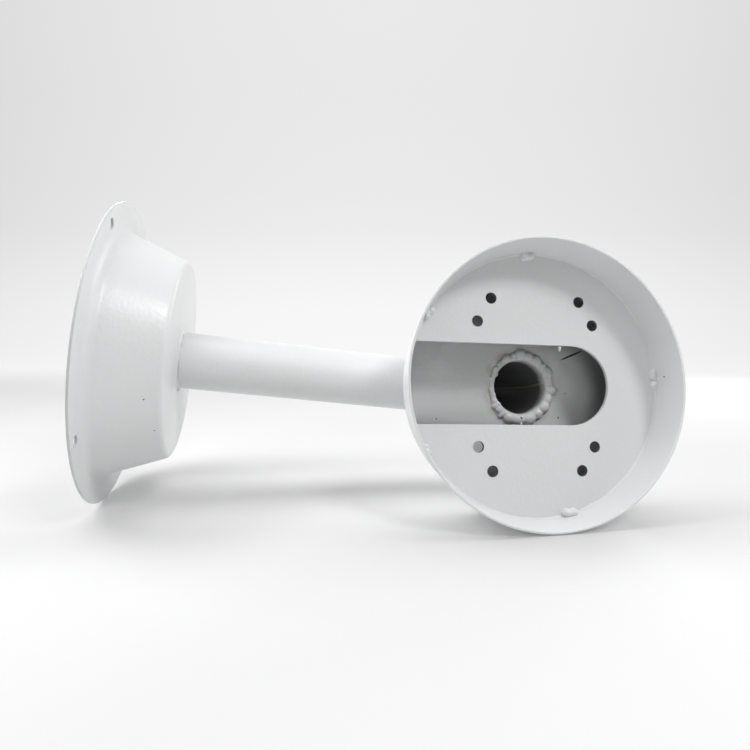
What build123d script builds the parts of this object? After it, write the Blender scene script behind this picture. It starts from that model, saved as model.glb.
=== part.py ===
"""Wall bracket for a dome camera: wall cup, bent tube arm, and a camera cup with a drilled plate in it.

Frame: millimetres, X out of the wall along the arm, Z up, origin on the wall in the middle of the wall cup.
The camera cup hangs from the arm's far end and opens downwards.
"""
from build123d import *
from math import cos, pi, radians, sin, sqrt, tan
import os

os.makedirs("parts", exist_ok=True)

# Sheet, tube and the gaps between pieces
sheet = 1.2
edge_r = 0.35
tube_r = 15.0
tube_wall = 1.2
tube_gap = 0.15
plate_gap = 0.05

# Arm: distance from the wall to the camera cup's axis, the bend's radius, and the straight leg below the bend
reach = 207.0
bend_r = 38.0
leg = 5.0

# Wall cup
flange_r = 77.5
flange_w = 13.7
wall_cup_depth = 33.0
wall_cup_lean = 12.0
foot_bend = 6.5
shoulder_bend = 3.0
wall_hole_r = 2.75
wall_hole_inset = 6.25
wall_hole_count = 4
wall_hole_turn = 39.0

# Camera cup
rim_r = 68.5
camera_cup_depth = 37.0
camera_cup_angle = 10.0
floor_bend = 4.2

# Plate in the camera cup
plate_inset = 17.0
plate_t = 2.0
plate_turn = -4.6
plate_hole_r = 2.75
square_pitch = 60.0
wall_box_pitch_x = 46.0
wall_box_pitch_y = 83.0
slot_w = 39.0
slot_end = 38.0

# Welds round the tube's two ends
weld_clear = 0.1
weld_bed = 0.9
cup_weld_leg = 3.7
cup_weld_lean = 2.4
wall_weld_leg = 3.0
wall_weld_lean = 0.3
cup_drop_pitch = 4.2
wall_drop_pitch = 8.0
drop_overlap = 0.15
drop_scatter = 0.25

# Outer weld line of the tube at the wall cup, and its burr
seam_leg = 0.7
burr_r = 0.55
burr_tip_r = 0.15
burr_length = 1.9
burr_drop = 1.0

# Tacks round the plate: common radius, how far their middles stand off the plate and in from the cup's side,
# and for each its direction from X towards Y in degrees, and its radius as a share of the common one
tack_r = 2.4
tack_lift = 0.25
tack_in = 0.85
tack_list = (
    (-98.6, 1.08),
    (-153.3, 1.0),
    (146.3, 0.96),
    (-9.6, 0.92),
    (-6.0, 1.0),
    (71.4, 1.17),
)

# Sizes that follow from these
bore_r = tube_r - tube_wall
tube_hole_r = tube_r + tube_gap
wall_floor_x = wall_cup_depth - sheet
cone_foot_r = flange_r - flange_w
floor_z = -bend_r - leg
back_z = floor_z + sheet
rim_z = floor_z - camera_cup_depth
plate_z = rim_z + plate_inset
cup_slope = tan(radians(camera_cup_angle))
cup_skin = sheet * sqrt(1 + cup_slope**2)


def cup_inner_r(z):
    """Radius of the camera cup's inside face at height z."""
    return rim_r - cup_skin - cup_slope * (z - rim_z)


plate_r = cup_inner_r(plate_z + plate_t) - plate_gap

# The camera cup's turning axis, and the half plane that its profile is drawn on
camera_axis = Axis((reach, 0, 0), (0, 0, 1))
camera_profile = Plane(origin=(reach, 0, 0), x_dir=(1, 0, 0), z_dir=(0, -1, 0))


def round_corner(section, point, radius):
    """Rounds the corner of a section that lies nearest to a point given in the section's own plane."""
    fillet(section.vertices().sort_by_distance(Vector(*point))[0], radius)


def make_wall_cup():
    """Hat pressed from sheet: flat flange, cone and closed end with a hole for the tube."""
    end_r = cone_foot_r - wall_cup_lean
    slope = wall_cup_lean / wall_floor_x
    skin = sheet * sqrt(1 + slope**2)
    inner_foot = cone_foot_r + slope * sheet - skin
    inner_end = end_r + slope * sheet - skin
    with BuildPart() as cup:
        with BuildSketch(Plane.XY) as section:
            with BuildLine():
                Polyline(
                    (0, flange_r),
                    (sheet, flange_r),
                    (sheet, cone_foot_r),
                    (wall_cup_depth, end_r),
                    (wall_cup_depth, tube_hole_r),
                    (wall_floor_x, tube_hole_r),
                    (wall_floor_x, inner_end),
                    (0, inner_foot),
                    close=True,
                )
            make_face()
            round_corner(section, (sheet, cone_foot_r), foot_bend)
            round_corner(section, (0, inner_foot), foot_bend + sheet)
            round_corner(section, (wall_cup_depth, end_r), shoulder_bend)
            round_corner(section, (wall_floor_x, inner_end), shoulder_bend - sheet)
            round_corner(section, (0, flange_r), edge_r)
            round_corner(section, (sheet, flange_r), edge_r)
        revolve(axis=Axis.X)
        with BuildSketch(Plane.YZ):
            with PolarLocations(flange_r - wall_hole_inset, wall_hole_count, start_angle=wall_hole_turn):
                Circle(wall_hole_r)
        extrude(amount=sheet, mode=Mode.SUBTRACT)
    return cup


def make_arm_tube():
    """Straight tube out of the wall cup, one quarter bend down, and a short leg into the camera cup's floor."""
    with BuildPart() as tube:
        with BuildLine(Plane.XZ):
            Line((wall_floor_x, 0), (reach - bend_r, 0))
            JernArc(start=(reach - bend_r, 0), tangent=(1, 0), radius=bend_r, arc_size=-90)
            Line((reach, -bend_r), (reach, floor_z))
        with BuildSketch(Plane.YZ.offset(wall_floor_x)):
            Circle(tube_r)
            Circle(bore_r, mode=Mode.SUBTRACT)
        sweep()
    return tube


def make_camera_cup():
    """Shallow cup drawn from sheet, its side leaning out to the rim, with a hole in the floor for the tube."""
    outer_back = rim_r - cup_slope * (back_z - rim_z)
    inner_back = cup_inner_r(floor_z)
    with BuildPart() as cup:
        with BuildSketch(camera_profile) as section:
            with BuildLine():
                Polyline(
                    (rim_r, rim_z),
                    (rim_r - cup_skin, rim_z),
                    (inner_back, floor_z),
                    (tube_hole_r, floor_z),
                    (tube_hole_r, back_z),
                    (outer_back, back_z),
                    close=True,
                )
            make_face()
            round_corner(section, (outer_back, back_z), floor_bend)
            round_corner(section, (inner_back, floor_z), floor_bend - sheet)
            round_corner(section, (rim_r, rim_z), edge_r)
            round_corner(section, (rim_r - cup_skin, rim_z), edge_r)
        revolve(axis=camera_axis)
    return cup


def make_camera_plate():
    """Flat disc tacked into the camera cup: two hole patterns and a slot open to the wall side."""
    turn = radians(plate_turn)
    plane = Plane(origin=(reach, 0, plate_z), x_dir=(cos(turn), sin(turn), 0), z_dir=(0, 0, 1))
    slot_middle = slot_end - slot_w / 2
    with BuildPart() as plate:
        with BuildSketch(plane):
            Circle(plate_r)
            with Locations((slot_middle - plate_r, 0)):
                Rectangle(2 * plate_r, slot_w, mode=Mode.SUBTRACT)
            with Locations((slot_middle, 0)):
                Circle(slot_w / 2, mode=Mode.SUBTRACT)
            with GridLocations(square_pitch, square_pitch, 2, 2):
                Circle(plate_hole_r, mode=Mode.SUBTRACT)
            with GridLocations(wall_box_pitch_x, wall_box_pitch_y, 2, 2):
                Circle(plate_hole_r, mode=Mode.SUBTRACT)
        extrude(amount=plate_t)
    return plate


def make_tube_weld(plane, weld_leg, lean, drop_pitch):
    """Ring of overlapping weld drops round the tube's end, standing on the sheet face that the plane gives.

    It is wider by its lean towards the plane's own X direction, and open over the tube's bore.
    """
    inner_r = bore_r + weld_clear
    outer_r = tube_r + weld_leg
    middle = (inner_r + outer_r) / 2
    drop_r = (outer_r - inner_r) / 2 + drop_overlap
    count = round(2 * pi * middle / drop_pitch)
    with BuildPart() as weld:
        with BuildSketch(plane):
            with Locations((0.8 * lean, 0)):
                Circle(outer_r - weld_bed)
        extrude(amount=weld_bed)
        for i in range(count):
            turn = 2 * pi * (i + drop_scatter * sin(2.3 * i)) / count
            swell = lean * cos(turn) / 3
            lie = middle + 1.5 * swell + drop_scatter * sin(3.1 * i)
            spot = Location((lie * cos(turn), lie * sin(turn), 0))
            with Locations(plane.location * spot):
                Sphere(drop_r + swell + drop_scatter * sin(1.7 * i))
        with BuildSketch(plane):
            Circle(2 * outer_r)
        extrude(amount=-2 * weld_leg, mode=Mode.SUBTRACT)
        with BuildSketch(plane):
            Circle(inner_r)
        extrude(amount=2 * weld_leg, mode=Mode.SUBTRACT)
    return weld


def make_seam_bead():
    """Fine weld line where the tube comes out of the wall cup, with a burr on its +Y side."""
    ring_plane = Plane.YZ.offset(wall_cup_depth)
    burr_plane = Plane(origin=(wall_cup_depth + seam_leg / 2, tube_r, -burr_drop), z_dir=(0, 1, 0))
    with BuildPart() as bead:
        with BuildSketch(Plane.XY):
            with BuildLine():
                Polyline(
                    (wall_cup_depth, tube_r),
                    (wall_cup_depth + seam_leg, tube_r),
                    (wall_cup_depth, tube_r + seam_leg),
                    close=True,
                )
            make_face()
        revolve(axis=Axis.X)
        with BuildSketch(burr_plane):
            Circle(burr_r)
        with BuildSketch(burr_plane.offset(burr_length)):
            Circle(burr_tip_r)
        loft()
        with BuildSketch(ring_plane):
            Circle(tube_r + 2 * burr_length)
        extrude(amount=-2 * burr_r, mode=Mode.SUBTRACT)
        with BuildSketch(ring_plane):
            Circle(tube_r)
        extrude(amount=2 * seam_leg, mode=Mode.SUBTRACT)
    return bead


def make_plate_tacks():
    """Weld tacks in the corner between the plate's face and the cup's inside."""
    with BuildPart() as tacks:
        for turn, share in tack_list:
            size = share * tack_r
            lie = cup_inner_r(plate_z) - tack_in
            spot = (reach + lie * cos(radians(turn)), lie * sin(radians(turn)), plate_z - tack_lift)
            with Locations(spot):
                Sphere(size)
        with BuildSketch(camera_profile):
            with BuildLine():
                Polyline(
                    (0, plate_z),
                    (cup_inner_r(plate_z), plate_z),
                    (cup_inner_r(rim_z), rim_z),
                    (0, rim_z),
                    close=True,
                )
            make_face()
        revolve(axis=camera_axis, mode=Mode.INTERSECT)
    return tacks


cup_weld_plane = Plane(origin=(reach, 0, floor_z), x_dir=(1, 0, 0), z_dir=(0, 0, -1))
wall_weld_plane = Plane(origin=(wall_floor_x, 0, 0), x_dir=(0, 0, 1), z_dir=(-1, 0, 0))

wall_cup = make_wall_cup()
arm_tube = make_arm_tube()
camera_cup = make_camera_cup()
camera_plate = make_camera_plate()
cup_weld = make_tube_weld(cup_weld_plane, cup_weld_leg, cup_weld_lean, cup_drop_pitch)
wall_weld = make_tube_weld(wall_weld_plane, wall_weld_leg, wall_weld_lean, wall_drop_pitch)
seam_bead = make_seam_bead()
plate_tacks = make_plate_tacks()

wall_cup.part.label = "wall_cup"
arm_tube.part.label = "arm_tube"
camera_cup.part.label = "camera_cup"
camera_plate.part.label = "camera_plate"
cup_weld.part.label = "cup_weld"
wall_weld.part.label = "wall_weld"
seam_bead.part.label = "seam_bead"
plate_tacks.part.label = "plate_tacks"

export_step(wall_cup.part, "parts/wall_cup.step")
export_step(arm_tube.part, "parts/arm_tube.step")
export_step(camera_cup.part, "parts/camera_cup.step")
export_step(camera_plate.part, "parts/camera_plate.step")
export_step(cup_weld.part, "parts/cup_weld.step")
export_step(wall_weld.part, "parts/wall_weld.step")
export_step(seam_bead.part, "parts/seam_bead.step")
export_step(plate_tacks.part, "parts/plate_tacks.step")
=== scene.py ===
"""Camera wall bracket: powder coat, welds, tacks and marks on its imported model, and the studio round it.

Sizes are in metres in the part's own frame: X out of the wall along the arm, Z up, origin on the wall.
In the picture the bracket lies on a table with its mouth to the camera, so the picture's up is close to -Y.
"""

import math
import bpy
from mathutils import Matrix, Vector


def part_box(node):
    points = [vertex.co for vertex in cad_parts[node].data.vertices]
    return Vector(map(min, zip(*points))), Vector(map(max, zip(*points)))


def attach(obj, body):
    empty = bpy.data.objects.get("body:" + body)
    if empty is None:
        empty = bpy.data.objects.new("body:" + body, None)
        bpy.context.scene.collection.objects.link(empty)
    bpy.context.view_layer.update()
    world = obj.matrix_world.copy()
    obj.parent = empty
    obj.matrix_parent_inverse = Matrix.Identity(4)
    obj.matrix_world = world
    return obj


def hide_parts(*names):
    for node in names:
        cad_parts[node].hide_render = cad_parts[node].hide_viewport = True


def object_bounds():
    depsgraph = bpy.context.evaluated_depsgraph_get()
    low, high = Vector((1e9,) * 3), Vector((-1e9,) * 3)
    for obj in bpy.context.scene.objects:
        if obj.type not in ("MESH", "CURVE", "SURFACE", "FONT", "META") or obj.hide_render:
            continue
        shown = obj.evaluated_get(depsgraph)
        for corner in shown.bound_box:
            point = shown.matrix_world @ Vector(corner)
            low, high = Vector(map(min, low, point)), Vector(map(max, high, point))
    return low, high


bl_info = {
    "name": "Camera Wall Bracket",
    "version": (1, 0, 0),
    "blender": (4, 5, 0),
    "location": "3D View > Sidebar > Bracket",
    "description": "Dresses the camera wall bracket with powder coat, weld beads, tacks and small marks",
    "category": "Object",
}

import bmesh
import bpy
from bpy.props import FloatProperty, FloatVectorProperty, IntProperty, PointerProperty
from bpy.types import Operator, Panel, PropertyGroup
from mathutils import Color, Matrix, Vector, noise as smooth_noise

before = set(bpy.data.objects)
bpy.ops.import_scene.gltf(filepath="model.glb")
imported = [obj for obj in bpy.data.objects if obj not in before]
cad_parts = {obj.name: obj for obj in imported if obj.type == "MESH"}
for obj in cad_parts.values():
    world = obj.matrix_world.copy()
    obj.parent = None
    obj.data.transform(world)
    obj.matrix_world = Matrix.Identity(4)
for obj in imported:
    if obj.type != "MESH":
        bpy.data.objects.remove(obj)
cad_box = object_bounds()
MM = 0.001

# Sizes that the frame gives
tube_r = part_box("arm_tube")[1].y
tube_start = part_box("arm_tube")[0].x
flange_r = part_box("wall_cup")[1].y
cup_x = (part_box("camera_cup")[0].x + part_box("camera_cup")[1].x) / 2
cup_floor_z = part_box("cup_weld")[1].z
rim_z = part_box("camera_cup")[0].z
rim_r = (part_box("camera_cup")[1].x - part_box("camera_cup")[0].x) / 2
plate_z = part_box("camera_plate")[0].z
end_face_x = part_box("seam_bead")[0].x

# Sizes of the part that the frame doesn't give
sheet = 1.2 * MM
bore_r = tube_r - sheet
cup_angle = math.radians(10)
cup_lean = math.tan(cup_angle)
cup_skin = sheet / math.cos(cup_angle)
bend_r = 38 * MM
slot_end = 38 * MM
slot_half = 19.5 * MM
seam_leg = 0.7 * MM
hole_r = 2.75 * MM
plate_turn = math.radians(-4.6)
plate_holes = ((30 * MM, 30 * MM), (23 * MM, 41.5 * MM))
flange_hole_inset = 6.25 * MM
flange_hole_turns = (39, 129, 219, 309)

# How deep a bead is pressed into the sheet that it lies on
press = 0.02 * MM
# Middle of a lit patch on the camera cup's floor, which the painted shade behind the plate leaves out
lit_spot = (0.1868, 0.0325, cup_floor_z)


def color_value(name, description, default):
    """A colour that a user can change."""
    return FloatVectorProperty(
        name=name, description=description, subtype="COLOR", size=3, min=0, max=1, default=default
    )


def length_value(name, description, default):
    """A length that a user can change."""
    return FloatProperty(name=name, description=description, unit="LENGTH", default=default)


class CoatSettings(PropertyGroup):
    """Colours and grain of the powder coat."""

    color: color_value("Coat colour", "Colour of the powder coat", (0.75, 0.754, 0.76))
    roughness: FloatProperty(
        name="Roughness", description="Mean roughness of the coat", subtype="FACTOR", min=0, max=1,
        default=0.33,
    )
    peel_size: length_value("Peel size", "Width of one lump of the orange peel", 1.1 * MM)
    peel_height: length_value("Peel height", "Height of the orange peel", 0.11 * MM)
    grain_size: length_value("Grain size", "Width of one grain of the powder", 0.35 * MM)
    # The bore's colour is its bare steel; on the walls of the plate's holes the same colour is painted shade.
    bare_bore_and_hole_shade_color: color_value(
        "Bore colour", "Colour of the tube's bore and the plate's holes", (0.15, 0.15, 0.155)
    )
    ridge_color: color_value("Ridge colour", "Colour of the weld ridge in the bore", (0.3, 0.29, 0.25))
    # Painted shade: the coat behind the plate is painted darker, where little light reaches.
    shade_behind_plate_color: color_value(
        "Thin coat colour", "Colour of the thin coat behind the plate", (0.345, 0.347, 0.356)
    )
    flange_hole_color: color_value(
        "Flange hole colour", "Colour of the coat on the walls of the flange's holes", (0.44, 0.442, 0.45)
    )
    # The flange's edge is coloured darker than the rest of the coat.
    edge_color: color_value(
        "Edge colour", "Colour of the thinner coat on the flange's edge", (0.6, 0.603, 0.608)
    )
    stain_color: color_value("Stain colour", "Colour of the coat's stain at the weld", (0.6, 0.585, 0.54))
    seam_color: color_value("Seam colour", "Colour of the thin line along the arm's seam", (0.5, 0.54, 0.57))
    mark_color: color_value(
        "Mark colour", "Colour of bare steel in a scratch or a pinhole", (0.022, 0.022, 0.024)
    )


class WeldSettings(PropertyGroup):
    """Sizes of the weld ring in the camera cup."""

    small_drops: IntProperty(
        name="Small drops", description="Number of small drops on the ring", default=34, min=6
    )
    ring_r: length_value("Ring radius", "Radius of the middle of the ring of small drops", 16.2 * MM)
    small_r: length_value("Small radius", "Radius of a small drop", 1.35 * MM)
    bed_r: length_value("Bed radius", "Radius of the round bed under the drops", 1.4 * MM)
    lean: length_value("Lean", "How far the ring is pushed out on its wide side", 1.0 * MM)
    scatter: length_value("Scatter", "How far a small drop may lie off the ring", 1.0 * MM)
    height: FloatProperty(
        name="Height", description="Height of a drop as a share of its radius", default=0.82
    )
    grid: length_value("Grid", "Size of the grid that fuses the drops", 0.2 * MM)
    seed: IntProperty(name="Seed", description="Seed of the drops' sizes and places", default=4)


class LumpSettings(PropertyGroup):
    """Sizes of the tacks, the drips of paint, the plate's joint and the ridge in the bore."""

    tack_lumps: IntProperty(name="Tack lumps", description="Number of lumps in one tack", default=6, min=1)
    tack_spread: FloatProperty(
        name="Tack spread", description="How far a lump lies off its tack, as a share of its size",
        default=0.45, min=0,
    )
    drip_lumps: IntProperty(name="Drip lumps", description="Number of lumps in one drip", default=8, min=1)
    grid: length_value("Grid", "Size of the grid that fuses a tack's lumps", 0.16 * MM)
    ridge_r: length_value("Ridge radius", "Half the width of the ridge in the bore", 0.8 * MM)
    ridge_height: length_value("Ridge height", "How far the ridge stands out", 0.5 * MM)
    joint_w: length_value("Joint width", "Width of the paint in the plate's corner", 0.75 * MM)
    seed: IntProperty(name="Seed", description="Seed of the lumps", default=7)


class StageSettings(PropertyGroup):
    """Table, backdrop and light."""

    table_color: color_value("Table colour", "Colour of the paper under the bracket", (0.72, 0.72, 0.72))
    # Painted light: the paper in front is painted paler, to make up for less lamp light there.
    table_front_painted_light: color_value("Front colour", "Colour of the paper in front", (0.8, 0.8, 0.8))
    # Painted light: the paper glows a little by itself, standing for light through it from below.
    paper_glow: FloatProperty(
        name="Paper glow", description="Light that comes through the paper from below", default=0.08, min=0
    )
    # Painted reflection: the pale room shows to the camera and in the coat's mirroring, but lights nothing
    # else.
    surround_color: color_value(
        "Surround colour", "Colour of the pale room, as the coat mirrors it", (0.55, 0.55, 0.55)
    )
    world_strength: FloatProperty(
        name="World strength", description="Even light from all round", default=0.05, min=0
    )


def settings(name):
    """One of the property groups, with the values that a user would change."""
    return getattr(bpy.context.scene, name)


def live(sockets):
    """The sockets that a node's settings leave in use."""
    return [socket for socket in sockets if socket.enabled]


def link(tree, source, target):
    """Joins two sockets, or sets the second one to a plain value."""
    if isinstance(source, bpy.types.NodeSocket):
        tree.links.new(source, target)
    else:
        target.default_value = source


def add(tree, kind, **values):
    """Adds a node. Each value goes to the property of that name, or else to the input."""
    node = tree.nodes.new(kind)
    for name, value in values.items():
        if hasattr(node, name):
            setattr(node, name, value)
        else:
            link(tree, value, node.inputs[name.replace("_", " ")])
    return node


def math_of(tree, operation, a, b=None, vector=False):
    """Adds a maths node on sockets or numbers, and gives its result."""
    node = add(tree, "ShaderNodeVectorMath" if vector else "ShaderNodeMath", operation=operation)
    link(tree, a, node.inputs[0])
    if b is not None:
        link(tree, b, node.inputs[1])
    return node.outputs["Value" if operation in ("LENGTH", "DISTANCE", "DOT_PRODUCT") else 0]


def over_all(tree, operation, values):
    """A maths operation over any number of values, from the first to the last."""
    result = values[0]
    for value in values[1:]:
        result = math_of(tree, operation, result, value)
    return result


def times(tree, *values):
    """The product of any number of values."""
    return over_all(tree, "MULTIPLY", values)


def minus(tree, a, b):
    """The first value less the second."""
    return math_of(tree, "SUBTRACT", a, b)


def scaled(tree, vector, factor):
    """A vector times a number."""
    node = add(tree, "ShaderNodeVectorMath", operation="SCALE", Scale=factor)
    link(tree, vector, node.inputs[0])
    return node.outputs[0]


def noise(tree, where, size, detail=2.0, roughness=0.5):
    """Noise whose lumps are about size metres wide, from 0 to 1."""
    lumps = 0.6 / size
    node = add(tree, "ShaderNodeTexNoise", Vector=where, Scale=lumps, Detail=detail, Roughness=roughness)
    return node.outputs["Fac"]


def mix_of(tree, kind, share, a, b):
    """Value or colour a where share is 0, and b where it is 1."""
    node = add(tree, "ShaderNodeMix", data_type=kind)
    for slot, value in zip(live(node.inputs), (share, a, b)):
        link(tree, (*value, 1) if isinstance(value, Color) else value, slot)
    return live(node.outputs)[0]


def mix_shaders(tree, share, a, b):
    """Shader a where share is 0, and shader b where it is 1."""
    node = add(tree, "ShaderNodeMixShader")
    for slot, value in zip(node.inputs, (share, a, b)):
        link(tree, value, slot)
    return node.outputs[0]


def fade(tree, value, low, high):
    """0 at low and 1 at high, whichever of them is larger, with a soft step between them."""
    node = add(
        tree, "ShaderNodeMapRange", interpolation_type="SMOOTHSTEP", Value=value, From_Min=low, From_Max=high
    )
    return node.outputs["Result"]


def between(tree, share, low, high):
    """From low where share is 0 to high where it is 1."""
    return add(tree, "ShaderNodeMapRange", Value=share, To_Min=low, To_Max=high).outputs["Result"]


def split(tree, where):
    """X, Y and Z of a point."""
    part = add(tree, "ShaderNodeSeparateXYZ", Vector=where)
    return [part.outputs[axis] for axis in "XYZ"]


def span(tree, a, b):
    """Length of the hypotenuse over two sides."""
    squares = [math_of(tree, "POWER", math_of(tree, "ABSOLUTE", value), 2.0) for value in (a, b)]
    return math_of(tree, "SQRT", math_of(tree, "ADD", *squares))


def shown_rays(tree):
    """1 for the camera's rays, and 1 for the camera's and mirrored rays alike."""
    path = add(tree, "ShaderNodeLightPath").outputs
    return path["Is Camera Ray"], math_of(tree, "MAXIMUM", path["Is Camera Ray"], path["Is Glossy Ray"])


def off_cup_axis(tree, x, y):
    """How far a point is from the camera cup's axis."""
    return span(tree, minus(tree, x, cup_x), y)


def off_arm_line(tree, x, y, z):
    """How far a point is from the arm's middle line: straight along X, round the bend, and down the leg."""
    past_bend = minus(tree, x, cup_x - bend_r)
    over_leg = math_of(tree, "ADD", z, bend_r)
    round_bend = span(tree, minus(tree, span(tree, past_bend, over_leg), bend_r), y)
    in_leg = off_cup_axis(tree, x, y)
    away = mix_of(tree, "FLOAT", math_of(tree, "GREATER_THAN", over_leg, 0.0), in_leg, round_bend)
    return mix_of(tree, "FLOAT", math_of(tree, "GREATER_THAN", past_bend, 0.0), span(tree, y, z), away)


def spot_mask(tree, where, centre, radius):
    """1 inside a small round spot of the surface, fading to 0 at its edge."""
    away = math_of(tree, "DISTANCE", where, centre, vector=True)
    return fade(tree, away, radius * 1.15, radius * 0.75)


def scratch_mask(tree, where, start, end, width):
    """1 on a thin scratch from start to end, which narrows towards both ends."""
    along = Vector(end) - Vector(start)
    offset = math_of(tree, "SUBTRACT", where, start, vector=True)
    share = math_of(tree, "DOT_PRODUCT", offset, tuple(along / along.length_squared), vector=True)
    held = math_of(tree, "MINIMUM", math_of(tree, "MAXIMUM", share, 0.0), 1.0)
    away = math_of(tree, "DISTANCE", offset, scaled(tree, tuple(along), held), vector=True)
    taper = times(tree, held, minus(tree, 1.0, held))
    half = times(tree, math_of(tree, "POWER", taper, 0.6), 1.15 * width)
    return math_of(tree, "LESS_THAN", away, half)


def bore_mask(tree, where):
    """1 on the tube's bore, where the coat doesn't reach, fading to 0 near its two mouths."""
    x, y, z = split(tree, where)
    inside = math_of(tree, "LESS_THAN", off_arm_line(tree, x, y, z), (bore_r + tube_r) / 2)
    ragged = times(tree, minus(tree, noise(tree, where, 4 * MM), 0.5), 5 * MM)
    into_leg = math_of(tree, "ADD", minus(tree, z, cup_floor_z), ragged)
    into_arm = math_of(tree, "ADD", minus(tree, x, tube_start), ragged)
    depth = math_of(tree, "MINIMUM", into_leg, into_arm)
    return times(tree, inside, fade(tree, depth, 0.5 * MM, 7 * MM))


def shade_behind_plate_mask(tree, where):
    """1 on the cup's inside behind the plate, where shade is painted into the coat, and 0 where light comes
    in through the slot.
    """
    x, y, z = split(tree, where)
    past_slot = math_of(tree, "MAXIMUM", minus(tree, x, cup_x + slot_end - slot_half), 0.0)
    off_slot = minus(tree, span(tree, past_slot, y), slot_half)
    deep = math_of(tree, "GREATER_THAN", z, plate_z + 1 * MM)
    below = math_of(tree, "LESS_THAN", z, cup_floor_z + 0.1 * MM)
    leaning = math_of(tree, "ADD", off_cup_axis(tree, x, y), times(tree, z, cup_lean))
    inside = math_of(tree, "LESS_THAN", leaning, rim_r - 0.85 * cup_skin + cup_lean * rim_z)
    off_lit_spot = math_of(tree, "DISTANCE", where, lit_spot, vector=True)
    # The painted shade leaves out what the light through the slot reaches, and a lit patch of the floor.
    out_of_slot = fade(tree, off_slot, -2 * MM, 9 * MM)
    out_of_spot = fade(tree, off_lit_spot, 4 * MM, 10 * MM)
    return times(tree, deep, below, inside, out_of_slot, out_of_spot)


def plate_back_shade_mask(tree, where):
    """1 on the plate's hidden face, where shade is painted into the coat."""
    return fade(tree, split(tree, where)[2], plate_z + 1.2 * MM, plate_z + 1.9 * MM)


def plate_hole_shade_mask(tree, where):
    """1 on the walls of the plate's screw holes, where shade is painted into the coat."""
    x, y, _ = split(tree, where)
    off = minus(tree, x, cup_x)
    cos, sin = math.cos(plate_turn), math.sin(plate_turn)
    along = math_of(tree, "ADD", times(tree, off, cos), times(tree, y, sin))
    across = minus(tree, times(tree, y, cos), times(tree, off, sin))
    along, across = math_of(tree, "ABSOLUTE", along), math_of(tree, "ABSOLUTE", across)
    away = [
        span(tree, minus(tree, along, a), minus(tree, across, b))
        for a, b in plate_holes
    ]
    return math_of(tree, "LESS_THAN", over_all(tree, "MINIMUM", away), hole_r + 0.03 * MM)


def weld_stain_mask(tree, where):
    """A faint ring of discoloured coat on the cup's floor round the weld."""
    x, y, z = split(tree, where)
    ring = fade(tree, off_cup_axis(tree, x, y), 22 * MM, 18.5 * MM)
    cloudy = fade(tree, noise(tree, where, 5 * MM, 4.0), 0.4, 0.7)
    on_floor = math_of(tree, "LESS_THAN", z, cup_floor_z + 0.5 * MM)
    return times(tree, ring, cloudy, on_floor)


def seam_line_mask(tree, where):
    """1 on the thin, broken line where the seam bead meets the arm."""
    x = split(tree, where)[0]
    off_line = math_of(tree, "ABSOLUTE", minus(tree, x, end_face_x + seam_leg))
    broken = fade(tree, noise(tree, where, 7 * MM, 3.0), 0.38, 0.56)
    return times(tree, fade(tree, off_line, 0.45 * MM, 0.1 * MM), broken)


def flange_hole_mask(tree, where):
    """1 on the walls of the flange's screw holes, which are coloured darker."""
    _, y, z = split(tree, where)
    circle_r = flange_r - flange_hole_inset
    away = []
    for turn in flange_hole_turns:
        off_y = minus(tree, y, circle_r * math.cos(math.radians(turn)))
        off_z = minus(tree, z, circle_r * math.sin(math.radians(turn)))
        away.append(span(tree, off_y, off_z))
    return math_of(tree, "LESS_THAN", over_all(tree, "MINIMUM", away), hole_r + 0.12 * MM)


def flange_edge_mask(tree, where):
    """1 on the flange's edge, which is coloured darker."""
    _, y, z = split(tree, where)
    return math_of(tree, "GREATER_THAN", span(tree, y, z), flange_r - 0.3 * MM)


def weld_edge_mask(tree, where):
    """Brown tinge in the weld's foot, where it meets the cup's floor."""
    foot = fade(tree, split(tree, where)[2], cup_floor_z - 1.0 * MM, cup_floor_z - 0.1 * MM)
    return times(tree, foot, fade(tree, noise(tree, where, 2.5 * MM, 3.0), 0.35, 0.6))


def make_coat(name, spots=(), scratches=(), layers=()):
    """Satin white powder coat with orange peel, other colours where a layer's mask says, and dark marks."""
    cloud_size = 22 * MM
    darkest, palest = 0.975, 1.015
    smoother, rougher = 0.06, 0.08
    grain_share = 0.25
    mark_depth = 4.0
    coat = settings("bracket_coat")
    material = bpy.data.materials.new(name)
    material.use_nodes = True
    tree = material.node_tree
    shader = tree.nodes["Principled BSDF"]
    where = add(tree, "ShaderNodeTexCoord").outputs["Object"]
    peel = noise(tree, where, coat.peel_size, 2.0, 0.45)
    grain = noise(tree, where, coat.grain_size, 1.0)

    tone = between(tree, noise(tree, where, cloud_size, 3.0), darkest, palest)
    color = scaled(tree, tuple(coat.color), tone)
    for mask_of, layer in layers:
        color = mix_of(tree, "RGBA", mask_of(tree, where), color, layer)
    height = math_of(tree, "ADD", peel, times(tree, grain, grain_share))

    marks = [spot_mask(tree, where, *spot) for spot in spots]
    marks += [scratch_mask(tree, where, *scratch) for scratch in scratches]
    if marks:
        mask = over_all(tree, "MAXIMUM", marks)
        color = mix_of(tree, "RGBA", mask, color, coat.mark_color)
        height = minus(tree, height, times(tree, mask, mark_depth))

    link(tree, color, shader.inputs["Base Color"])
    rough = between(tree, peel, coat.roughness - smoother, coat.roughness + rougher)
    link(tree, rough, shader.inputs["Roughness"])
    bump = add(tree, "ShaderNodeBump", Distance=coat.peel_height, Height=height)
    link(tree, bump.outputs["Normal"], shader.inputs["Normal"])
    return material


def material_named(name, **marks):
    """The coat of that name, made the first time it is asked for."""
    return bpy.data.materials.get(name) or make_coat(name, **marks)


def add_object(name, data):
    """A new object in the scene."""
    item = bpy.data.objects.new(name, data)
    bpy.context.scene.collection.objects.link(item)
    return item


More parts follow.
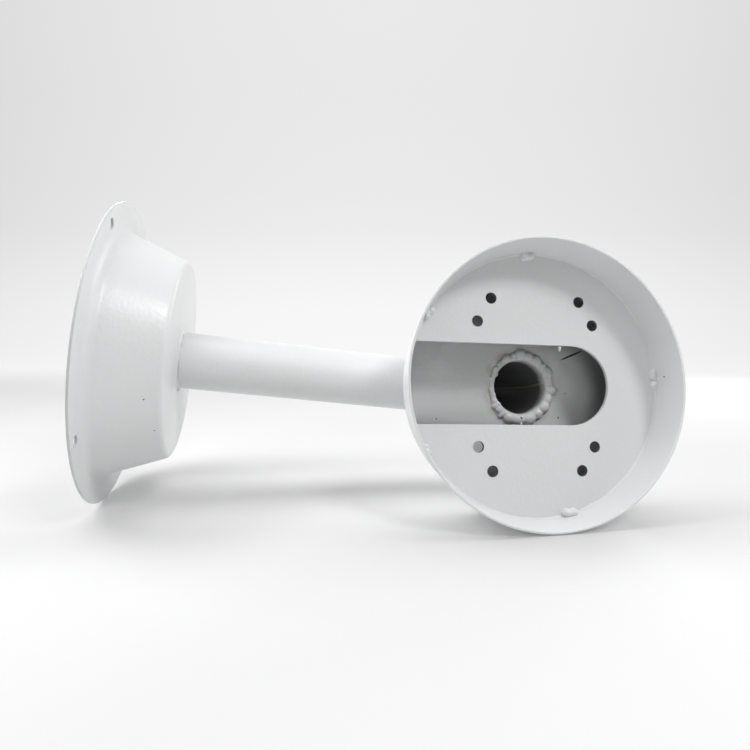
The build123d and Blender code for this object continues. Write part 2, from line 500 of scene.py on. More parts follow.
def shape_tree(name, ints=(), floats=()):
    """A geometry tree with named inputs, and the sockets of its group input and output."""
    tree = bpy.data.node_groups.new(name, "GeometryNodeTree")
    tree.interface.new_socket("Geometry", in_out="OUTPUT", socket_type="NodeSocketGeometry")
    kinds = {"Geometry": "Geometry", "Coat": "Material"}
    kinds.update(dict.fromkeys(ints, "Int"))
    kinds.update(dict.fromkeys(floats, "Float"))
    for label, kind in kinds.items():
        tree.interface.new_socket(label, in_out="INPUT", socket_type="NodeSocket" + kind)
    return tree, tree.nodes.new("NodeGroupInput").outputs, tree.nodes.new("NodeGroupOutput").inputs


def finish_tree(tree, geometry, material, out):
    """Ends a tree with real geometry, smooth shading and its material."""
    real = add(tree, "GeometryNodeRealizeInstances", Geometry=geometry)
    smooth = add(tree, "GeometryNodeSetShadeSmooth", Geometry=real.outputs[0])
    paint = add(tree, "GeometryNodeSetMaterial", Geometry=smooth.outputs[0], Material=material)
    link(tree, paint.outputs[0], out["Geometry"])


def plain_mesh(name, tree, values, source):
    """Runs a geometry tree with these inputs on a mesh, and gives a new object with the plain result."""
    carrier = add_object(name + "_carrier", source)
    modifier = carrier.modifiers.new(tree.name, "NODES")
    modifier.node_group = tree
    for item in tree.interface.items_tree:
        if item.in_out == "INPUT" and item.name in values:
            modifier[item.identifier] = values[item.name]
    bpy.context.view_layer.update()
    evaluated = carrier.evaluated_get(bpy.context.evaluated_depsgraph_get())
    mesh = bpy.data.meshes.new_from_object(evaluated)
    bpy.data.objects.remove(carrier)
    mesh.name = name
    if not mesh.polygons:
        raise RuntimeError(f"the tree {tree.name} made no faces for {name}")
    return add_object(name, mesh)


def place_of(tree):
    """Where each point lies."""
    return tree.nodes.new("GeometryNodeInputPosition").outputs[0]


def attribute_of(tree, name, kind="FLOAT"):
    """The value that each point carries under this name."""
    node = add(tree, "GeometryNodeInputNamedAttribute", data_type=kind, Name=name)
    return live(node.outputs)[0]


def random_of(tree, low, high, seed, key):
    """A random number from low to high for each point, and another one for each key."""
    node = add(tree, "FunctionNodeRandomValue", data_type="FLOAT", Seed=math_of(tree, "ADD", seed, key))
    for slot, value in zip(live(node.inputs), (low, high)):
        link(tree, value, slot)
    return live(node.outputs)[0]


def fuse(tree, geometry, grid, rounds):
    """Melts overlapping closed meshes into one skin, and softens it in a few rounds."""
    solid = add(
        tree, "GeometryNodeMeshToVolume", resolution_mode="VOXEL_SIZE", Mesh=geometry, Voxel_Size=grid,
        Interior_Band_Width=times(tree, grid, 3.0),
    )
    skin = add(
        tree, "GeometryNodeVolumeToMesh", resolution_mode="VOXEL_SIZE", Volume=solid.outputs["Volume"],
        Voxel_Size=grid,
    )
    soft = add(
        tree, "GeometryNodeBlurAttribute", data_type="FLOAT_VECTOR", Value=place_of(tree), Iterations=rounds
    )
    move = add(tree, "GeometryNodeSetPosition", Geometry=skin.outputs["Mesh"], Position=soft.outputs["Value"])
    return move.outputs["Geometry"]


def make_weld_tree():
    """Large weld drops at a mesh's points, and small ones on a ring that leans towards X, on a round bed."""
    # Width of a large drop and height of a small one, as shares of their sizes
    large_width = 1.22
    small_height = 1.3
    bed_steps = 96
    soft_rounds = 8
    tree, given, out = shape_tree(
        "Weld ring",
        ints=("Small drops", "Seed"),
        floats=(
            "Ring radius", "Bed middle", "Small radius", "Bed radius", "Lean", "Scatter", "Height", "Grid",
        ),
    )
    place = place_of(tree)

    def on_ring(count, reach):
        """Points on a circle round the bore, each as far out as reach says."""
        circle = add(tree, "GeometryNodeMeshCircle", Radius=1.0, Vertices=count)
        move = add(
            tree, "GeometryNodeSetPosition", Geometry=circle.outputs[0], Position=scaled(tree, place, reach)
        )
        return move.outputs[0]

    def drops_at(points, outward, around, high, key):
        """A drop at each point that points away from the bore, a little larger or smaller by chance."""
        chance = random_of(tree, 0.9, 1.08, given["Seed"], key)
        shape = add(tree, "ShaderNodeCombineXYZ")
        for axis, value in zip("XYZ", (outward, around, high)):
            link(tree, times(tree, value, chance), shape.inputs[axis])
        turn = add(tree, "FunctionNodeAlignRotationToVector", axis="X", Vector=place)
        drop = add(tree, "GeometryNodeMeshIcoSphere", Radius=1.0, Subdivisions=4)
        return add(
            tree, "GeometryNodeInstanceOnPoints", Points=points, Instance=drop.outputs[0],
            Rotation=turn.outputs[0], Scale=shape.outputs[0],
        ).outputs[0]

    size = attribute_of(tree, "size")
    deep = math_of(tree, "LENGTH", attribute_of(tree, "along", "FLOAT_VECTOR"), vector=True)
    mean = times(tree, given["Height"], 0.5)
    rise = times(tree, math_of(tree, "ADD", size, deep), mean)
    large = drops_at(given["Geometry"], deep, times(tree, size, large_width), rise, 0)

    leaning = times(tree, given["Lean"], split(tree, place)[0])
    radius = math_of(tree, "ADD", given["Ring radius"], leaning)
    inward = times(tree, given["Scatter"], -1.0)
    scatter = random_of(tree, inward, given["Scatter"], given["Seed"], 2)
    little = given["Small radius"]
    ring = on_ring(given["Small drops"], math_of(tree, "ADD", radius, scatter))
    small = drops_at(ring, little, little, times(tree, little, small_height), 3)

    line = add(tree, "GeometryNodeMeshToCurve", Mesh=on_ring(bed_steps, given["Bed middle"]))
    bar = add(tree, "GeometryNodeCurvePrimitiveCircle", Resolution=16, Radius=given["Bed radius"])
    bed = add(tree, "GeometryNodeCurveToMesh", Curve=line.outputs[0], Profile_Curve=bar.outputs[0])
    both = add(tree, "GeometryNodeJoinGeometry")
    for part in (bed.outputs[0], large, small):
        link(tree, part, both.inputs[0])
    real = add(tree, "GeometryNodeRealizeInstances", Geometry=both.outputs[0])
    finish_tree(tree, fuse(tree, real.outputs[0], given["Grid"], soft_rounds), given["Coat"], out)
    return tree


def make_lump_tree():
    """A chain of fused lumps from each point of a mesh, along its along attribute and as wide as its size."""
    soft_rounds = 3
    tree, given, out = shape_tree("Lump chains", ints=("Lumps", "Seed"), floats=("Spread", "Taper", "Grid"))
    size = attribute_of(tree, "size")
    copies = add(
        tree, "GeometryNodeDuplicateElements", domain="POINT", Geometry=given["Geometry"],
        Amount=given["Lumps"],
    )
    # A little more than the last lump's number, so that a single lump doesn't divide by 0
    last = minus(tree, given["Lumps"], 0.999)
    share = math_of(tree, "DIVIDE", copies.outputs["Duplicate Index"], last)
    step = scaled(tree, attribute_of(tree, "along", "FLOAT_VECTOR"), share)
    stray = add(tree, "ShaderNodeCombineXYZ")
    for key, axis in enumerate("XYZ"):
        link(tree, random_of(tree, -1.0, 1.0, given["Seed"], key), stray.inputs[axis])
    off = scaled(tree, stray.outputs[0], times(tree, size, given["Spread"]))
    move = add(
        tree, "GeometryNodeSetPosition", Geometry=copies.outputs["Geometry"],
        Offset=math_of(tree, "ADD", off, step, vector=True),
    )
    narrowed = minus(tree, 1.0, times(tree, given["Taper"], share))
    chance = random_of(tree, 0.65, 1.05, given["Seed"], 3)
    lump = add(tree, "GeometryNodeMeshIcoSphere", Radius=1.0, Subdivisions=3)
    chain = add(
        tree, "GeometryNodeInstanceOnPoints", Points=move.outputs["Geometry"], Instance=lump.outputs[0],
        Scale=times(tree, size, narrowed, chance),
    )
    real = add(tree, "GeometryNodeRealizeInstances", Geometry=chain.outputs[0])
    finish_tree(tree, fuse(tree, real.outputs[0], given["Grid"], soft_rounds), given["Coat"], out)
    return tree


def lump_tree():
    """The tree of lump chains, made the first time it is asked for."""
    return bpy.data.node_groups.get("Lump chains") or make_lump_tree()


def make_ridge_tree():
    """A round bar along a line of edges, whose radius swells and shrinks a little."""
    swell_size = 3 * MM
    least, swing = 0.6, 0.8
    tree, given, out = shape_tree("Seam ridge", floats=("Radius",))
    line = add(tree, "GeometryNodeMeshToCurve", Mesh=given["Geometry"])
    share = noise(tree, place_of(tree), swell_size)
    swell = math_of(tree, "ADD", least, times(tree, share, swing))
    bar = add(tree, "GeometryNodeCurvePrimitiveCircle", Resolution=12, Radius=given["Radius"])
    skin = add(
        tree, "GeometryNodeCurveToMesh", Curve=line.outputs[0], Profile_Curve=bar.outputs[0], Scale=swell,
        Fill_Caps=True,
    )
    finish_tree(tree, skin.outputs[0], given["Coat"], out)
    return tree


def sized_points(name, places, sizes, runs):
    """A mesh of loose points, with a size for each and the way that its drop or chain of lumps runs."""
    mesh = bpy.data.meshes.new(name)
    mesh.from_pydata(places, [], [])
    for item, size in zip(mesh.attributes.new("size", "FLOAT", "POINT").data, sizes):
        item.value = size
    for item, run in zip(mesh.attributes.new("along", "FLOAT_VECTOR", "POINT").data, runs):
        item.vector = run
    return mesh


def cup_inner_r(z):
    """Radius of the camera cup's inside face at height z."""
    return rim_r - cup_skin - cup_lean * (z - rim_z)


def keep_in_corner(co):
    """Flattens a tack on the plate's face and on the cup's inside."""
    height = min(co.z, plate_z + press)
    off = Vector((co.x - cup_x, co.y))
    held = min(off.length, cup_inner_r(height) + press) / off.length
    return Vector((cup_x + off.x * held, off.y * held, height))


def keep_on_sheet(co):
    """Roughens a weld ring, flattens it on its sheet, and keeps it out of the bore but for ragged flaps."""
    # Each flap's direction from X in degrees, how far it reaches in, and its width in degrees
    flaps = ((-135, 1.3 * MM, 30), (140, 0.7 * MM, 22))
    flap_lift = 0.8 * MM
    bore_gap = 0.15 * MM
    swell = 0.1 * MM * smooth_noise.noise(co / (1.6 * MM))
    ragged = 0.35 * MM * smooth_noise.noise(Vector((co.x, co.y, 0)) / (2.2 * MM))
    around = math.hypot(co.x, co.y)
    angle = math.degrees(math.atan2(co.y, co.x))
    flap = sum(reach * math.exp(-(((angle - turn) / width) ** 2)) for turn, reach, width in flaps)
    inner_r = bore_r + bore_gap - flap * min(1.0, max(0.0, co.z / flap_lift)) + ragged
    push = max(inner_r, around + swell) / around
    return Vector((co.x * push, co.y * push, max(co.z + swell, -press)))


def press_on(mesh, rule):
    """Moves the points of a mesh by a rule that gives each one's new place."""
    for vertex in mesh.vertices:
        vertex.co = rule(vertex.co)
    mesh.update()


def finish_piece(piece, node=None):
    """The piece rides on the bracket, and stands for a node of the model where one is named."""
    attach(piece, "root")
    if node:
        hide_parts(node)


class BRACKET_OT_coat(Operator):
    """Paints the sheet and tube pieces with powder coat, and marks its pinholes and the scratch"""

    bl_idname = "bracket.coat"
    bl_label = "Powder Coat"

    # Middle and radius of each pinhole
    wall_spots = (((0.02545, 0.02411, -0.04903), 0.35 * MM), ((0.0298, 0.03772, -0.03721), 0.32 * MM))
    cup_spots = (
        ((0.2715, -0.01007, -0.06885), 0.42 * MM),
        ((0.2329, 0.0007, cup_floor_z), 0.3 * MM),
        ((0.2297, 0.0138, cup_floor_z), 0.4 * MM),
        ((0.1638, 0.0203, cup_floor_z), 0.35 * MM),
    )
    # Start, end and width of the scratch
    cup_scratches = (((0.2292, -0.0166, cup_floor_z), (0.2412, -0.0229, cup_floor_z), 1.0 * MM),)

    def execute(self, context):
        coat = settings("bracket_coat")
        wall_layers = ((flange_edge_mask, coat.edge_color), (flange_hole_mask, coat.flange_hole_color))
        cup_layers = ((weld_stain_mask, coat.stain_color), (shade_behind_plate_mask, coat.shade_behind_plate_color))
        plate_layers = ((plate_back_shade_mask, coat.shade_behind_plate_color), (plate_hole_shade_mask, coat.bare_bore_and_hole_shade_color))
        tube_layers = ((bore_mask, coat.bare_bore_and_hole_shade_color), (seam_line_mask, coat.seam_color))
        seam_layers = ((seam_line_mask, coat.seam_color),)
        coats = {
            "wall_cup": material_named("coat_wall_cup", spots=self.wall_spots, layers=wall_layers),
            "camera_cup": material_named(
                "coat_camera_cup", spots=self.cup_spots, scratches=self.cup_scratches, layers=cup_layers
            ),
            "camera_plate": material_named("coat_camera_plate", layers=plate_layers),
            "arm_tube": material_named("coat_arm_tube", layers=tube_layers),
            "seam_bead": material_named("coat_seam", layers=seam_layers),
        }
        for name, material in coats.items():
            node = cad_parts[name]
            node.data.materials.clear()
            node.data.materials.append(material)
        return {"FINISHED"}


class BRACKET_OT_weld_rings(Operator):
    """Makes the lumpy weld rings round the tube's two ends"""

    bl_idname = "bracket.weld_rings"
    bl_label = "Weld Rings"

    # Large drops of the ring in the camera cup: direction from X towards -Y in degrees, how far the drop
    # reaches from the bore's middle, and half its width, in millimetres
    drops = (
        (1, 20.9, 2.5), (-17, 19.2, 3.0), (-33, 19.6, 2.9), (-50, 19.9, 2.8), (-69, 20.4, 3.4),
        (-88, 19.8, 3.0), (-106, 20.2, 3.2), (-121, 20.0, 1.5), (-129, 18.4, 2.2), (-140, 19.0, 1.4),
        (-148, 17.6, 2.2), (-163, 16.9, 2.3), (178, 16.6, 2.2), (165, 16.9, 2.0), (152, 17.4, 2.2),
        (136, 17.8, 2.2), (119, 18.8, 2.6), (104, 18.6, 2.0), (92, 20.1, 2.9), (77, 19.6, 2.7),
        (61, 20.0, 2.9), (46, 19.3, 2.6), (32, 20.6, 3.0), (17, 19.2, 2.7),
    )
    pinhole = ((0.20852, 0.01583, -0.04496), 0.6 * MM)

    # The same for the ring that is hidden in the wall cup, whose drops are even but for a small swing
    hidden_drops = [
        (15 * i, 18.2 + 0.4 * math.sin(3.1 * i), 2.6 + 0.3 * math.sin(1.7 * i)) for i in range(24)
    ]
    hidden_ring_r = 15.9 * MM
    hidden_lean = 0.3 * MM

    def execute(self, context):
        weld = settings("bracket_weld")
        tree = make_weld_tree()
        layers = ((weld_edge_mask, settings("bracket_coat").stain_color),)
        values = {
            "Small drops": weld.small_drops, "Ring radius": weld.ring_r, "Small radius": weld.small_r,
            "Bed radius": weld.bed_r, "Bed middle": bore_r + weld.bed_r, "Lean": weld.lean,
            "Scatter": weld.scatter, "Height": weld.height, "Grid": weld.grid, "Seed": weld.seed,
            "Coat": material_named("coat_weld", spots=(self.pinhole,), layers=layers),
        }
        turn = Matrix(((1, 0, 0, cup_x), (0, -1, 0, 0), (0, 0, -1, cup_floor_z), (0, 0, 0, 1)))
        self.make_ring("camera_cup_weld", tree, values, self.drops, turn, "cup_weld")

        values.update({"Lean": self.hidden_lean, "Ring radius": self.hidden_ring_r, "Seed": weld.seed + 5})
        turn = Matrix(((0, 0, -1, tube_start), (0, 1, 0, 0), (1, 0, 0, 0), (0, 0, 0, 1)))
        self.make_ring("wall_cup_weld", tree, values, self.hidden_drops, turn, "wall_weld")
        return {"FINISHED"}

    def make_ring(self, name, tree, values, drops, turn, node):
        """One ring, whose large drops run out from the bore's wall, put on its sheet by turn."""
        places = []
        runs = []
        for angle, reach, _ in drops:
            way = Vector((math.cos(math.radians(angle)), math.sin(math.radians(angle)), 0))
            places.append(tuple(way * (reach * MM + bore_r) / 2))
            runs.append(way * (reach * MM - bore_r) / 2)
        sizes = [size * MM for _, _, size in drops]
        ring = plain_mesh(name, tree, values, sized_points(name + "_drops", places, sizes, runs))
        press_on(ring.data, keep_on_sheet)
        ring.data.transform(turn)
        finish_piece(ring, node)


class BRACKET_OT_tacks(Operator):
    """Makes the weld tacks in the corner between the plate and the camera cup"""

    bl_idname = "bracket.tacks"
    bl_label = "Plate Tacks"

    # Direction from X towards Y in degrees, length along the corner and half the width, in millimetres
    tacks = (
        (-98.6, 2.8, 2.2),
        (-153.3, 2.4, 2.1),
        (146.3, 2.2, 2.0),
        (-10.2, 3.4, 1.9),
        (-5.4, 2.0, 2.0),
        (71.4, 2.8, 2.3),
    )
    # How far a tack's middle lies in from the cup's side, as a share of its half width, and off the plate
    inset_share = 0.3
    lift = 0.1 * MM

    def execute(self, context):
        lump = settings("bracket_lumps")
        places = []
        runs = []
        for turn, length, size in self.tacks:
            turn = math.radians(turn)
            lie = cup_inner_r(plate_z) - self.inset_share * size * MM
            run = Vector((-math.sin(turn), math.cos(turn), 0)) * length * MM
            middle = Vector((cup_x + lie * math.cos(turn), lie * math.sin(turn), plate_z - self.lift))
            places.append(tuple(middle - run / 2))
            runs.append(run)
        values = {
            "Lumps": lump.tack_lumps, "Spread": lump.tack_spread, "Taper": 0.0, "Grid": lump.grid,
            "Seed": lump.seed, "Coat": material_named("coat_plain"),
        }
        sizes = [size * MM for _, _, size in self.tacks]
        points = sized_points("tack_points", places, sizes, runs)
        piece = plain_mesh("tack_lumps", lump_tree(), values, points)
        press_on(piece.data, keep_in_corner)
        finish_piece(piece, "plate_tacks")
        return {"FINISHED"}


class BRACKET_OT_drips(Operator):
    """Makes the small drips of paint on the slot's edge and at the bore's mouth"""

    bl_idname = "bracket.drips"
    bl_label = "Paint Drips"

    # Where each drip starts, how it runs, and half its width, in millimetres
    drips = (
        ((218.3, -19.6, -62.0), (0.3, 1.9, 0.3), 0.85),
        ((200.6, 19.6, -62.0), (0.1, -0.8, -0.2), 0.6),
        ((203.9, -14.5, -44.5), (0.0, 1.8, 0.1), 0.5),
        ((202.8, -14.5, -44.4), (0.2, 1.2, 0.1), 0.4),
    )
    spread = 0.08
    taper = 0.5
    grid = 0.1 * MM

    def execute(self, context):
        lump = settings("bracket_lumps")
        places = [tuple(value * MM for value in start) for start, _, _ in self.drips]
        runs = [[value * MM for value in run] for _, run, _ in self.drips]
        sizes = [size * MM for _, _, size in self.drips]
        values = {
            "Lumps": lump.drip_lumps, "Spread": self.spread, "Taper": self.taper, "Grid": self.grid,
            "Seed": lump.seed + 3, "Coat": material_named("coat_plain"),
        }
        points = sized_points("drip_points", places, sizes, runs)
        finish_piece(plain_mesh("paint_drips", lump_tree(), values, points))
        return {"FINISHED"}


class BRACKET_OT_plate_joint(Operator):
    """Makes the hollow line of paint that fills the corner between the plate and the camera cup"""

    bl_idname = "bracket.plate_joint"
    bl_label = "Plate Joint"

    # How much the line's width swings, and how close the swings lie
    swings = ((0.45, 9), (0.25, 30))
    corner_lap = 0.1 * MM
    sections = 720
    bends = 5

    def execute(self, context):
        joint_w = settings("bracket_lumps").joint_w
        points = []
        for i in range(self.sections):
            turn = 2 * math.pi * i / self.sections
            way = Vector((math.cos(turn), math.sin(turn), 0))
            width = joint_w * sum((share * smooth_noise.noise(way * pace) for share, pace in self.swings), 1)
            section = [(cup_inner_r(plate_z) + self.corner_lap, plate_z + self.corner_lap)]
            for k in range(self.bends + 1):
                bend = math.radians(90) * k / self.bends
                height = plate_z - width + width * math.cos(bend)
                section.append((cup_inner_r(height) - width * (1 - math.sin(bend)) + press, height))
            points += [Vector((cup_x, 0, height)) + way * off for off, height in section]
        row = self.bends + 2
        faces = []
        for i in range(self.sections):
            here = i * row
            there = (i + 1) % self.sections * row
            for k in range(row):
                after = (k + 1) % row
                faces.append((here + k, here + after, there + after, there + k))
        mesh = bpy.data.meshes.new("plate_joint")
        mesh.from_pydata(points, [], faces)
        shell = bmesh.new()
        shell.from_mesh(mesh)
        bmesh.ops.recalc_face_normals(shell, faces=shell.faces)
        shell.to_mesh(mesh)
        shell.free()
        mesh.shade_smooth()
        mesh.materials.append(material_named("coat_plain"))
        finish_piece(add_object("plate_joint", mesh))
        return {"FINISHED"}


class BRACKET_OT_bore_ridge(Operator):
    """Makes the tube's weld ridge, which runs along the far side of its bore"""

    bl_idname = "bracket.bore_ridge"
    bl_label = "Bore Ridge"

    # How far the ridge has turned round the bore at the mouth and in the arm, in degrees
    mouth_turn = -15.5
    arm_turn = -2.0
    # How far inside the tube's two mouths the ridge ends
    mouth_gap = 1.0 * MM
    arm_gap = 0.5 * MM
    bend_steps = 40

    def execute(self, context):
        lump = settings("bracket_lumps")
        lie = bore_r + lump.ridge_r - lump.ridge_height
        leg = -bend_r - cup_floor_z - self.mouth_gap
        points = []
        for i in range(self.bend_steps + 1):
            share = i / self.bend_steps
            turned = (self.arm_turn - self.mouth_turn) * math.sin(share * math.pi / 2)
            turn = math.radians(self.mouth_turn + turned)
            out = lie * math.cos(turn)
            side = lie * math.sin(turn)
            along = share * (leg + bend_r * math.pi / 2)
            if along < leg:
                points.append((cup_x + out, side, cup_floor_z + self.mouth_gap + along))
            else:
                bend = (along - leg) / bend_r
                reach = bend_r + out
                over = cup_x - bend_r + reach * math.cos(bend)
                points.append((over, side, -bend_r + reach * math.sin(bend)))
        points.append((tube_start + self.arm_gap, *points[-1][1:]))
        line = bpy.data.meshes.new("ridge_line")
        line.from_pydata(points, [(i, i + 1) for i in range(len(points) - 1)], [])
        layers = ((bore_mask, settings("bracket_coat").ridge_color),)
        values = {"Radius": lump.ridge_r, "Coat": material_named("coat_bore_ridge", layers=layers)}
        finish_piece(plain_mesh("bore_ridge", make_ridge_tree(), values, line))
        return {"FINISHED"}


class BRACKET_OT_stage(Operator):
    """Makes the table, the backdrop, the lamps and the camera"""

    bl_idname = "bracket.stage"
    bl_label = "Studio"

    camera_place = Vector((0.0782, 0.0315, -0.33))
    camera_look = Vector((0.1794, -0.1022, 0.9785))
    camera_up = Vector((-0.1032, -0.991, -0.0846))
    camera_lens = 28.47
    # The table's upward direction, and its height along it from the flange's edge and the cup's side on it
    table_up = Vector((-0.118, -0.976, -0.184)).normalized()
    table_height = -77.42 * MM
    # Painted brightness of the glowing backdrop at a few heights over the table, in metres
    backdrop = (
        (0.0, 0.94), (0.11, 0.93), (0.2, 0.9), (0.34, 0.842), (0.46, 0.823), (0.7, 0.812), (1.0, 0.82),
    )
    side_dimming = -0.1
    # Where along the table the paper is painted paler towards the camera, as painted light, and where the
    # backdrop takes over from it
    front_fade = (0.06, -0.2)
    backdrop_fade = (0.2, 0.75)
    # How far the lamps are from the point that they light, and how high it lies over the table
    lamp_distance = 0.9
    lamp_aim = 0.08
    # Name, turn from the camera's side to the right in degrees, height in degrees, size, power in watts
    bracket_lamps = (
        ("back_left", 225, 20, 0.5, 4.6),
        ("top_left", 300, 72, 0.6, 3.3),
        ("left", 270, 45, 0.6, 2.4),
        ("left_low", 270, 20, 0.5, 1.6),
        ("key", 55, 46, 0.2, 3.1),
        ("right_low", 90, 20, 0.5, 1.9),
        ("front", 0, 45, 0.6, 1.2),
        ("back_right", 135, 20, 0.5, 2.0),
        ("front_left", 315, 45, 0.6, 1.0),
    )
    paper_lamps = (
        ("paper_back", 135, 20, 0.5, 3.5),
        ("paper_left", 270, 45, 0.6, 3.5),
        ("paper_top_left", 240, 72, 0.6, 2.4),
        ("paper_top_right", 120, 72, 0.6, 2.9),
        ("paper_front_right", 35, 45, 0.25, 1.8),
        ("paper_front_left", 315, 20, 0.5, 1.5),
    )

    def execute(self, context):
        self.make_camera(context)
        self.make_table()
        self.make_lamps()
        self.make_world(context)
        context.scene.view_settings.view_transform = "Standard"
        return {"FINISHED"}

    def make_camera(self, context):
        """The camera, where the one that took the photo stood."""
        look = self.camera_look.normalized()
        side = look.cross(self.camera_up).normalized()
        up = side.cross(look)
        data = bpy.data.cameras.new("Camera")
        data.sensor_width = 36
        data.lens = self.camera_lens
        data.clip_start = 0.01
        camera = add_object("Camera", data)
        rows = zip(side, up, -look, self.camera_place)
        camera.matrix_world = Matrix((*rows, (0, 0, 0, 1)))
        context.scene.camera = camera

    def table_frame(self):
        """The table's axes to the right and away from the camera, and the point under the bracket."""
        away = (self.camera_look - self.camera_look.dot(self.table_up) * self.table_up).normalized()
        right = away.cross(self.table_up)
        middle = (cad_box[0] + cad_box[1]) / 2
        foot = middle + (self.table_height - middle.dot(self.table_up)) * self.table_up
        return right, away, foot

    def make_table(self):
        """A sheet that lies under the bracket and curves up behind it."""
        right, away, foot = self.table_frame()
        front, reach, curve_r, rise, half = -1.2, 1.4, 0.4, 1.6, 2.4
        curve_steps = 24
        line = [(front, 0.0), (reach - curve_r, 0.0)]
        for i in range(1, curve_steps + 1):
            turn = math.radians(90) * i / curve_steps
            line.append((reach - curve_r + curve_r * math.sin(turn), curve_r - curve_r * math.cos(turn)))
        line.append((reach, rise))
        points = []
        for far, high in line:
            for side in (-half, half):
                points.append(foot + far * away + high * self.table_up + side * right)
        faces = [(2 * i, 2 * i + 1, 2 * i + 3, 2 * i + 2) for i in range(len(line) - 1)]
        mesh = bpy.data.meshes.new("studio_table")
        mesh.from_pydata(points, [], faces)
        mesh.shade_smooth()
        mesh.materials.append(self.table_material())
        add_object("studio_table", mesh)

    def table_material(self):
        """Matt white paper. Behind the bracket it glows for the camera and in mirrors, painted light that
        stands for a softly lit backdrop.
        """
        stage = settings("bracket_stage")
        right, away, foot = self.table_frame()
        material = bpy.data.materials.new("studio_paper")
        material.use_nodes = True
        tree = material.node_tree
        tree.nodes.clear()
        where = add(tree, "ShaderNodeTexCoord").outputs["Object"]
        off = math_of(tree, "SUBTRACT", where, tuple(foot), vector=True)
        axes = (self.table_up, away, right)
        high, far, side = (math_of(tree, "DOT_PRODUCT", off, tuple(axis), vector=True) for axis in axes)

        # Painted light: the paper is painted a little paler in front, to make up for the lamps being further
        # off there
        near = fade(tree, far, *self.front_fade)
        color = mix_of(tree, "RGBA", near, stage.table_color, stage.table_front_painted_light)
        matt = add(tree, "ShaderNodeBsdfDiffuse", Color=color)
        # The paper also glows a little by itself, painted light that softens the shadows on it.
        through = add(tree, "ShaderNodeEmission", Strength=stage.paper_glow)
        paper = add(tree, "ShaderNodeAddShader")
        link(tree, matt.outputs[0], paper.inputs[0])
        link(tree, through.outputs[0], paper.inputs[1])

        # The backdrop's painted glow is a little dimmer towards its sides
        ramp = add(tree, "ShaderNodeValToRGB")
        link(tree, high, ramp.inputs[0])
        stops = ramp.color_ramp.elements
        for place, _ in self.backdrop[1:-1]:
            stops.new(place)
        for stop, (place, tone) in zip(stops, self.backdrop):
            stop.position = place
            stop.color = (tone, tone, tone, 1)
        square = math_of(tree, "POWER", math_of(tree, "ABSOLUTE", side), 2.0)
        dim = times(tree, square, self.side_dimming)
        glow = add(tree, "ShaderNodeEmission", Color=ramp.outputs[0], Strength=math_of(tree, "ADD", 1.0, dim))
        camera_ray, shown_ray = shown_rays(tree)
        far_off = times(tree, shown_ray, fade(tree, far, *self.backdrop_fade))
        shown = mix_shaders(tree, far_off, paper.outputs[0], glow.outputs[0])

        # From its back the camera sees through the paper
        back = add(tree, "ShaderNodeNewGeometry").outputs["Backfacing"]
        clear = add(tree, "ShaderNodeBsdfTransparent").outputs[0]
        surface = mix_shaders(tree, times(tree, camera_ray, back), shown, clear)
        add(tree, "ShaderNodeOutputMaterial", Surface=surface)
        return material

    def make_lamps(self):
        """Lamps for the bracket and lamps for the paper, kept apart as flags do in a studio."""
        on_paper = bpy.data.collections.new("lit_with_paper")
        on_bracket = bpy.data.collections.new("lit_without_paper")
        for group, state in ((on_paper, "INCLUDE"), (on_bracket, "EXCLUDE")):
            group.objects.link(bpy.data.objects["studio_table"])
            group.collection_objects[0].light_linking.link_state = state
        for group, lamps in ((on_bracket, self.bracket_lamps), (on_paper, self.paper_lamps)):
            for lamp in lamps:
                self.add_lamp(*lamp).light_linking.receiver_collection = group

    def add_lamp(self, name, turn, height, size, power):
        """A round lamp on a half ball over the table, turned to the bracket."""
        right, away, foot = self.table_frame()
        turn, height = math.radians(turn), math.radians(height)
        flat = math.sin(turn) * right - math.cos(turn) * away
        direction = math.cos(height) * flat + math.sin(height) * self.table_up
        data = bpy.data.lights.new("lamp_" + name, "AREA")
        data.shape = "DISK"
        data.size = size
        data.energy = power
        lamp = add_object("lamp_" + name, data)
        lamp.location = foot + self.lamp_aim * self.table_up + self.lamp_distance * direction
        lamp.rotation_mode = "QUATERNION"
        lamp.rotation_quaternion = (-direction).to_track_quat("-Z", "Y")
        lamp.visible_camera = False
        return lamp

    def make_world(self, context):
        """Faint even light from all round. To the camera and in mirrored light it is a pale room, a painted
        reflection that gives no other light.
        """
        stage = settings("bracket_stage")
        world = bpy.data.worlds.new("Studio")
        world.use_nodes = True
        tree = world.node_tree
        tree.nodes.clear()
        light = add(tree, "ShaderNodeBackground", Color=(1, 1, 1, 1), Strength=stage.world_strength)
        room = add(tree, "ShaderNodeBackground", Color=(*stage.surround_color, 1))
        shown_ray = shown_rays(tree)[1]
        surface = mix_shaders(tree, shown_ray, light.outputs[0], room.outputs[0])
        add(tree, "ShaderNodeOutputWorld", Surface=surface)
        context.scene.world = world


class BRACKET_PT_panel(Panel):
    """Lists the steps that dress the bracket, and their sizes"""

    bl_idname = "BRACKET_PT_panel"
    bl_label = "Camera Bracket"
    bl_space_type = "VIEW_3D"
    bl_region_type = "UI"
    bl_category = "Bracket"

    def draw(self, context):
        for step in steps:
            self.layout.operator(step.bl_idname)
        for name, group in groups.items():
            box = self.layout.box()
            for value in group.__annotations__:
                box.prop(settings(name), value)


groups = {
    "bracket_coat": CoatSettings,
    "bracket_weld": WeldSettings,
    "bracket_lumps": LumpSettings,
    "bracket_stage": StageSettings,
}
steps = (
    BRACKET_OT_coat,
    BRACKET_OT_weld_rings,
    BRACKET_OT_tacks,
    BRACKET_OT_drips,
    BRACKET_OT_plate_joint,
    BRACKET_OT_bore_ridge,
    BRACKET_OT_stage,
)


def register():
    """Adds the settings, the steps and the panel to Blender."""
    for item in (*groups.values(), *steps, BRACKET_PT_panel):
        bpy.utils.register_class(item)
    for name, group in groups.items():
        setattr(bpy.types.Scene, name, PointerProperty(type=group))


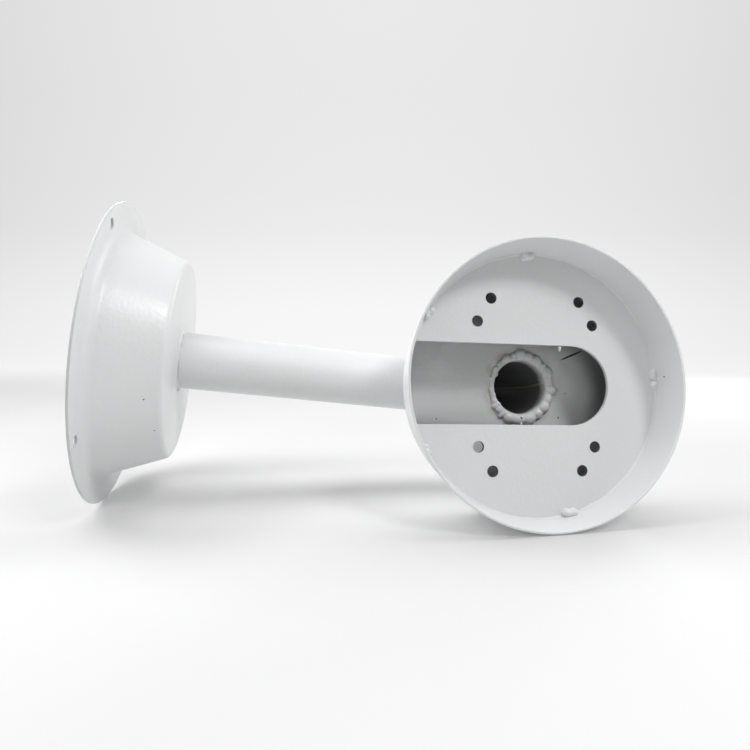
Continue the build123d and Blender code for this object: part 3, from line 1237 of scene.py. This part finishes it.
def unregister():
    """Takes them out again, last first."""
    for name in groups:
        delattr(bpy.types.Scene, name)
    for item in (BRACKET_PT_panel, *reversed(steps), *reversed(tuple(groups.values()))):
        bpy.utils.unregister_class(item)


def main():
    """Runs the steps in order."""
    register()
    bpy.ops.bracket.coat()
    bpy.ops.bracket.weld_rings()
    bpy.ops.bracket.tacks()
    bpy.ops.bracket.drips()
    bpy.ops.bracket.plate_joint()
    bpy.ops.bracket.bore_ridge()
    bpy.ops.bracket.stage()
    bpy.context.view_layer.update()


if __name__ == "__main__":
    main()
